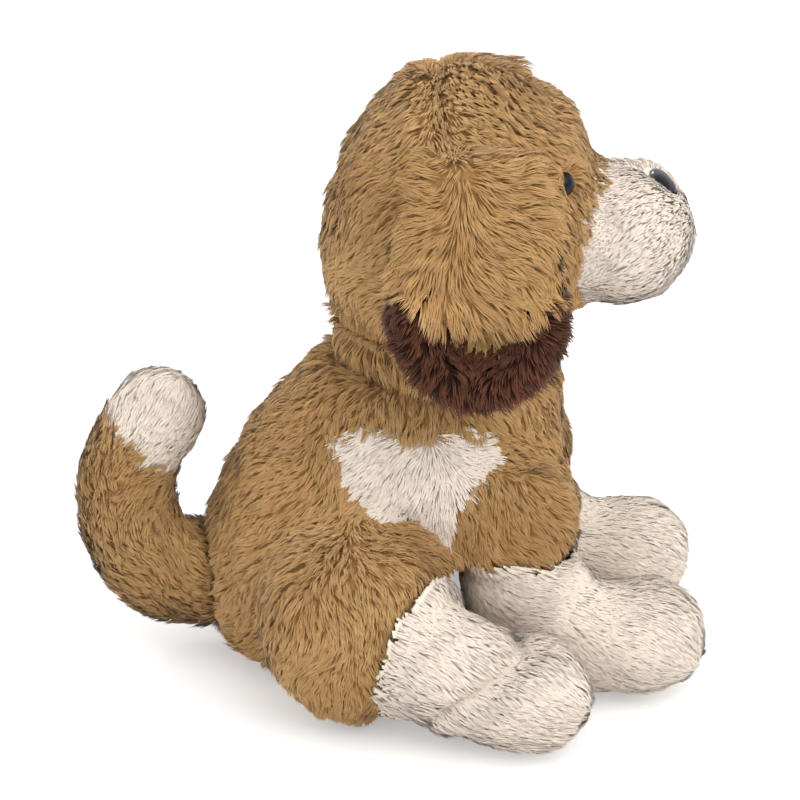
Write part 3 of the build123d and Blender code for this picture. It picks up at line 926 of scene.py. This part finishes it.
bodies, trees = {}, {}
for f in FORMS:
    depth = DEPTHS.get(f["name"].split("_")[0], BACKING_DEPTH)
    o = stuffed_form(f"{f['name']}_form", f["cad_names"], f["smooth"], depth, f["lump"], f["seed"],
                     f["mould"], f["carve"])
    co = places(o)
    tree = BVHTree.FromPolygons([tuple(c) for c in co], [tuple(p.vertices) for p in o.data.polygons])
    trees[f["name"]] = (co.min(0) - 0.004, co.max(0) + 0.004, tree)
    bodies[f["name"]] = o

EYES = [(seated(trees["head"][2], at, aim, EYE_PROUD), aim) for at, aim in EYES]
NOSE = (seated(trees["head"][2], *NOSE, NOSE_PROUD), NOSE[1])


def part_round_fittings(point, normal, size, rise, direction):
    """Parts the pile round the eyes and the nose; the last of what it returns is where pile grows."""
    ok = np.ones(len(point), dtype=bool)
    for (centre, _), bare, reach, stand in ((EYES[0], EYE_BARE, 0.014, 0.5), (EYES[1], EYE_BARE, 0.014, 0.5),
                                            (NOSE, NOSE_BARE, 0.012, 0.0)):
        off = point - centre
        gap = np.linalg.norm(off - normal * (off * normal).sum(1, keepdims=True), axis=1)
        near_it = np.linalg.norm(off, axis=1) < 0.03
        ok &= ~(near_it & (gap < bare))
        share = np.where(near_it, bell(gap, reach), 0.0)
        size = size * (1 - 0.35 * share)
        rise = rise + stand * share
        direction = direction + (2.0 * share)[:, None] * unit(off)
    return size, rise, direction, ok


def tuck_under_rim(point, normal, size, direction):
    """Short pile on the head's rim round the neck, lying in towards the neck, and none under it."""
    rim = step_up(-normal[:, 2], 0.35, 0.75) * (1 - step_up(point[:, 2], 0.235, 0.250))
    rim = rim * (1 - step_up(point[:, 0], 0.115, 0.130))
    inward = unit(np.array([NECK_X, 0.0, 0.0]) - point * [1, 1, 0])
    return (size * (1 - 0.75 * rim), direction * (1 - rim[:, None]) + inward * rim[:, None],
            rim < 0.7)


def clothe(f, k, p, keep):
    """Makes pelt k of a form: its backing as a closed piece, and the pile that grows on it."""
    rng = np.random.default_rng(100 + f["seed"] * 10 + k + (5 if f["name"].endswith("left") else 0))
    o = bodies[f["name"]]
    point, normal = sow(o, keep.astype(float), p["density"], rng)
    own = ("trunk", *LEGS) if f["name"] == "trunk" else (f["name"],)
    ok = uncovered(point, normal, [v for name, v in trees.items() if not name.startswith(own)])
    under = (normal[:, 2] < -0.75) & (point[:, 2] < 0.012)
    ok &= ~(under & (rng.random(len(point)) < 0.85))
    size = np.full(len(point), p["length"])
    rise = np.full(len(point), p["lift"])
    direction = unit(p["lay"](point))
    if f["name"] == "head":
        size, rise, direction, open_place = part_round_fittings(point, normal, size, rise, direction)
        size, direction, outside = tuck_under_rim(point, normal, size, direction)
        ok &= open_place & outside
        if p["name"] == "muzzle_pelt":
            # short at its seam with the face, where the tan pile grows over it
            size = size * (0.5 + 0.5 * step_up(point[:, 0], 0.150, 0.166))
        else:
            size = size * (1 - 0.35 * step_up(point[:, 0], 0.130, 0.146))
    size = np.where(under, p["length"] * 0.4, size)
    piece = part_of(o, keep, p["name"])
    piece.data.polygons.foreach_set("use_smooth", np.ones(len(piece.data.polygons), dtype=bool))
    piece.data.materials.append(PILES[p["slot"]][1])
    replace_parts(joined_to(piece, p["carrier"]), *p["stands_for"])
    tufts(f"{p['name']}_pile", point[ok], normal[ok], direction[ok], size[ok], rise[ok], p["width"],
          p["lock"], f["seed"] * 7 + k, p["slot"], p["carrier"])


for f in FORMS:
    mid, group = face_classes(bodies[f["name"]], [p["near"] for p in f["pelts"]])
    if f["sort"]:
        group = f["sort"](mid, group, [p["name"] for p in f["pelts"]])
    for k, p in enumerate(f["pelts"]):
        if p["name"]:
            clothe(f, k, p, group == k)
for o in bodies.values():
    bpy.data.objects.remove(o, do_unlink=True)

# ---------------------------------------------------------------- hard parts and the inside
def dome(name, node, at, aim, level, half, height, corner):
    """A moulded dome with a rolled rim, pressed into the pile: half its size along level and upward."""
    up = np.cross(aim, level)
    rings, steps = 14, 48
    angle = np.arange(steps) * 2 * math.pi / steps
    # a rounded triangle, wide side up, when corner is more than 0
    reach = 1 - corner * np.cos(3 * angle + math.pi / 2)
    reach /= reach.max()
    verts, faces = [at], []
    profile = [(math.sin(t), math.cos(t)) for t in np.linspace(0, math.pi / 2, rings)[1:]]
    profile += [(0.97, -0.35), (0.80, -0.60), (0.0, -0.62)]
    for r, h in profile:
        centre = at - aim * height * (1 - h)
        if r == 0.0:
            verts.append(centre)
            break
        for a, k in zip(angle, reach):
            verts.append(centre + r * k * (half[0] * math.cos(a) * level + half[1] * math.sin(a) * up))
    faces += [(0, 1 + k, 1 + (k + 1) % steps) for k in range(steps)]
    for ring in range(len(profile) - 2):
        a = 1 + ring * steps
        faces += [(a + k, a + steps + k, a + steps + (k + 1) % steps, a + (k + 1) % steps)
                  for k in range(steps)]
    last = 1 + (len(profile) - 2) * steps
    faces += [(last + (k + 1) % steps, last + k, len(verts) - 1) for k in range(steps)]
    o = new_object(name, verts, faces)
    o.data.polygons.foreach_set("use_smooth", np.ones(len(faces), dtype=bool))
    o.data.materials.append(GLOSS)
    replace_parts(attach(o, "head"), node)


for side, (at, aim) in zip(("left", "right"), EYES):
    level = unit(np.cross(np.array([0.0, 0.0, 1.0]), aim))
    dome(f"eye_{side}_dome", f"eye_{side}", at, aim, level, mm(6.5, 6.5), 0.0050, 0.0)
dome("nose_dome", "nose", *NOSE, np.array([0.0, 1.0, 0.0]), mm(13.5, 10.8), 0.0058, 0.10)

for names, material in ((("eye_washers", "nose_washer"), WASHER), (("seat_pouch",), CLOTH),
                        (("seat_beans",), BEANS)):
    for name in names:
        me = nodes[name].data
        me.materials.clear()
        me.materials.append(material)

# ---------------------------------------------------------------- floor, backdrop, light, camera
def seen_directly(n, link, path):
    """1 for what is looked at, also in a reflection or through something clear."""
    first, both = n.new("ShaderNodeMath"), n.new("ShaderNodeMath")
    first.operation = both.operation = "MAXIMUM"
    link.new(path.outputs["Is Camera Ray"], first.inputs[0])
    link.new(path.outputs["Is Glossy Ray"], first.inputs[1])
    link.new(first.outputs["Value"], both.inputs[0])
    link.new(path.outputs["Is Transmission Ray"], both.inputs[1])
    return both.outputs["Value"]


def studio_material(name, colour, lit):
    """A pale floor that keeps the shadow, and looks paler than it lights."""
    m = bpy.data.materials.new(name)
    m.use_nodes = True
    n, link = m.node_tree.nodes, m.node_tree.links
    bsdf = n["Principled BSDF"]
    bsdf.inputs["Base Color"].default_value = colour
    bsdf.inputs["Roughness"].default_value = 0.9
    bsdf.inputs["Specular IOR Level"].default_value = 0.1
    path = n.new("ShaderNodeLightPath")
    glow = n.new("ShaderNodeEmission")
    glow.inputs["Color"].default_value = (1, 1, 1, 1)
    glow.inputs["Strength"].default_value = lit
    none = n.new("ShaderNodeEmission")
    none.inputs["Strength"].default_value = 0.0
    seen = seen_directly(n, link, path)
    pick = n.new("ShaderNodeMixShader")
    link.new(seen, pick.inputs["Fac"])
    link.new(none.outputs["Emission"], pick.inputs[1])
    link.new(glow.outputs["Emission"], pick.inputs[2])
    add = n.new("ShaderNodeAddShader")
    link.new(bsdf.outputs["BSDF"], add.inputs[0])
    link.new(pick.outputs["Shader"], add.inputs[1])
    link.new(add.outputs["Shader"], n["Material Output"].inputs["Surface"])
    return m


half = 3.0
floor = new_object("studio_floor", [(-half, -half, 0), (half, -half, 0), (half, half, 0), (-half, half, 0)],
                   [(0, 1, 2, 3)])
floor.data.materials.append(studio_material("studio_floor", linear(236, 236, 236), 0.35))

scene = bpy.context.scene
world = bpy.data.worlds.new("studio")
scene.world = world
world.use_nodes = True
wn, wl = world.node_tree.nodes, world.node_tree.links
sky = wn["Background"]
sky.inputs["Color"].default_value = (1, 1, 1, 1)
sky.inputs["Strength"].default_value = 0.98
shown = wn.new("ShaderNodeBackground")
shown.inputs["Color"].default_value = (1, 1, 1, 1)
shown.inputs["Strength"].default_value = 1.0
path = wn.new("ShaderNodeLightPath")
pick = wn.new("ShaderNodeMixShader")
wl.new(seen_directly(wn, wl, path), pick.inputs["Fac"])
wl.new(sky.outputs["Background"], pick.inputs[1])
wl.new(shown.outputs["Background"], pick.inputs[2])
wl.new(pick.outputs["Shader"], wn["World Output"].inputs["Surface"])


def lamp(name, at, aim, size, watts):
    """A round soft lamp."""
    light = bpy.data.lights.new(name, "AREA")
    light.shape = "DISK"
    light.size = size
    light.energy = watts
    o = bpy.data.objects.new(name, light)
    scene.collection.objects.link(o)
    o.location = at
    o.rotation_euler = (Vector(aim) - Vector(at)).to_track_quat("-Z", "Y").to_euler()


lamp("key_light", (0.9, -1.2, 1.9), (0.04, 0, 0.15), 2.2, 21.0)
lamp("back_light", (-1.2, 1.1, 1.5), (0.0, 0, 0.2), 0.8, 9.0)

cam = bpy.data.cameras.new("camera")
camera = bpy.data.objects.new("camera", cam)
scene.collection.objects.link(camera)
scene.camera = camera
look = Vector((0.040, 0.0, 0.157))
tilt = math.radians(23)
reach = 1.6              # from the camera to the look point
view_width = 0.4571      # of what the picture takes in there
cam.sensor_width = 36
cam.lens = cam.sensor_width * reach / view_width
cam.clip_start = 0.05
camera.location = look + Vector((0, -math.cos(tilt), math.sin(tilt))) * reach
camera.rotation_euler = (look - camera.location).to_track_quat("-Z", "Y").to_euler()

scene.view_settings.view_transform = "Standard"
